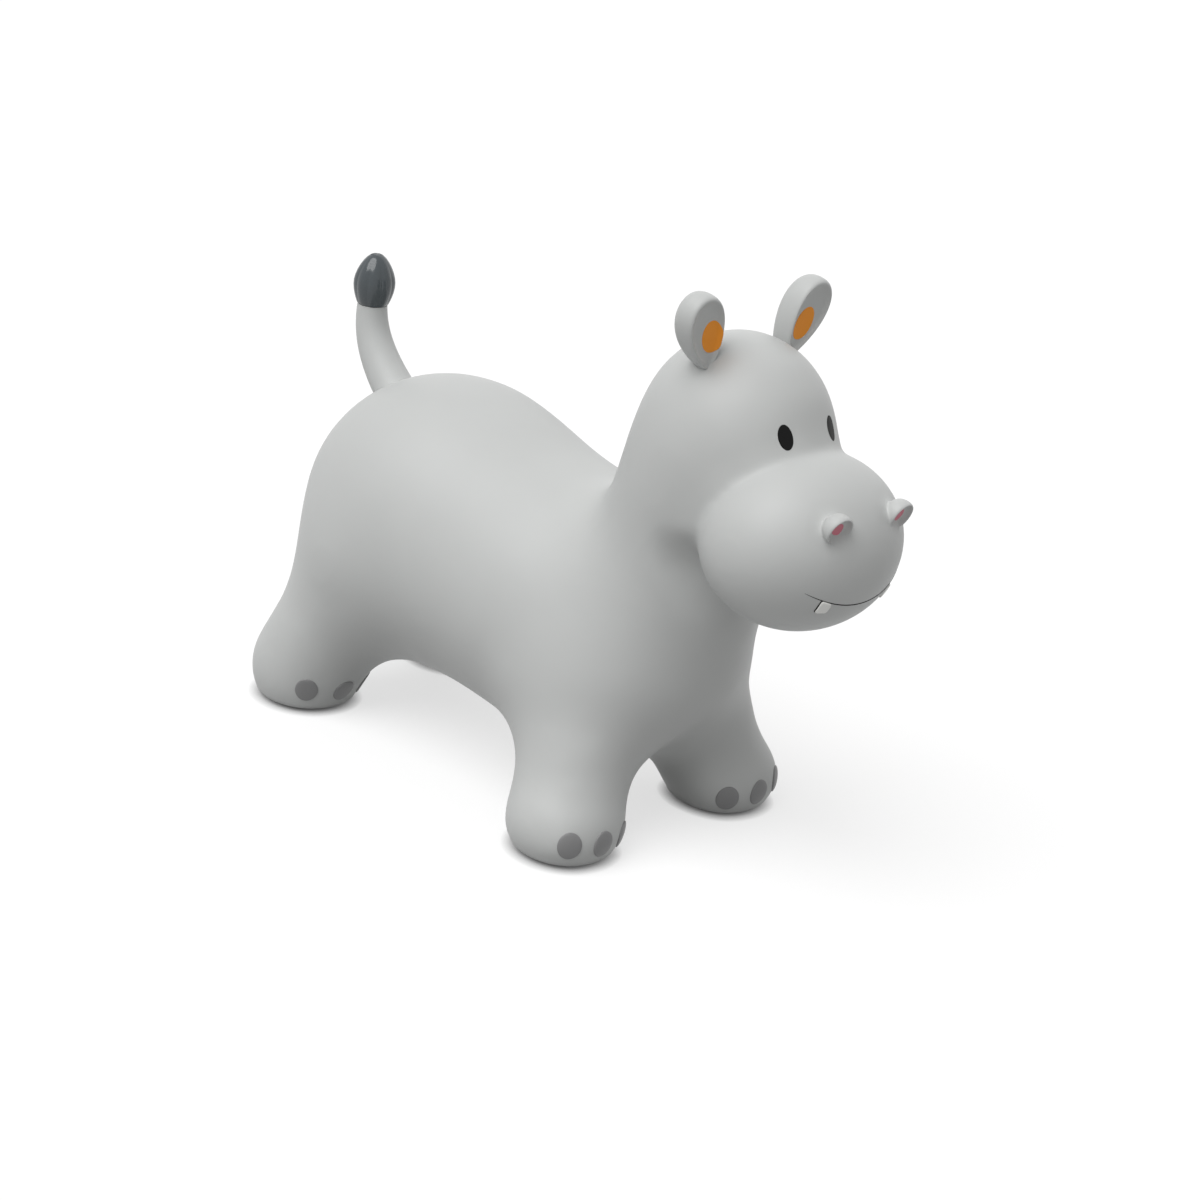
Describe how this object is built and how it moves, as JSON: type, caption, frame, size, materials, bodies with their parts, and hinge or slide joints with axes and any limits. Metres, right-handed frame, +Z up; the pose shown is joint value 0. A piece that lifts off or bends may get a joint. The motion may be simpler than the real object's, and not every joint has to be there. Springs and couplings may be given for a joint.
{
  "type": "hippo hopper",
  "caption": "Inflatable ride-on hopper shaped as a hippo, with a hollow vinyl skin, ears to hold, an upright tail and an air stopper that pulls out of the belly.",
  "frame": {"origin": "on the floor, under the middle of the overall box", "axes": "+X toward the nose, +Y toward the animal's left side, +Z up"},
  "size_m": [0.6113, 0.282, 0.4789],
  "materials": {
    "grey_vinyl": "soft vinyl, satin to matt, light grey",
    "slate_paint": "gloss dark slate paint",
    "nail_paint": "satin dark grey paint on vinyl",
    "orange_paint": "satin orange paint",
    "black_paint": "satin black paint",
    "pink_paint": "satin pink paint",
    "white_paint": "satin white paint",
    "white_plastic": "moulded white plastic"
  },
  "bodies": {
    "hippo": {"skin": "grey_vinyl", "tail": "grey_vinyl", "tail_tip": "slate_paint", "mouth_line": "black_paint", "ear_left": "grey_vinyl", "ear_patch_left": "orange_paint", "eye_left": "black_paint", "nostril_left": "grey_vinyl", "nostril_mark_left": "pink_paint", "tooth_left": "white_paint", "ear_right": "grey_vinyl", "ear_patch_right": "orange_paint", "eye_right": "black_paint", "nostril_right": "grey_vinyl", "nostril_mark_right": "pink_paint", "tooth_right": "white_paint", "toenail_front_left_inner": "nail_paint", "toenail_front_left_middle": "nail_paint", "toenail_front_left_outer": "nail_paint", "toenail_rear_left_inner": "nail_paint", "toenail_rear_left_middle": "nail_paint", "toenail_rear_left_outer": "nail_paint", "toenail_front_right_inner": "nail_paint", "toenail_front_right_middle": "nail_paint", "toenail_front_right_outer": "nail_paint", "toenail_rear_right_inner": "nail_paint", "toenail_rear_right_middle": "nail_paint", "toenail_rear_right_outer": "nail_paint"},
    "stopper": {"air_stopper": "white_plastic"}
  },
  "joints": [
    {"name": "stopper_pull", "type": "slide", "parent": "hippo", "child": "stopper", "axis": [0, 0, -1], "range_m": [0, 0.03]}
  ]
}
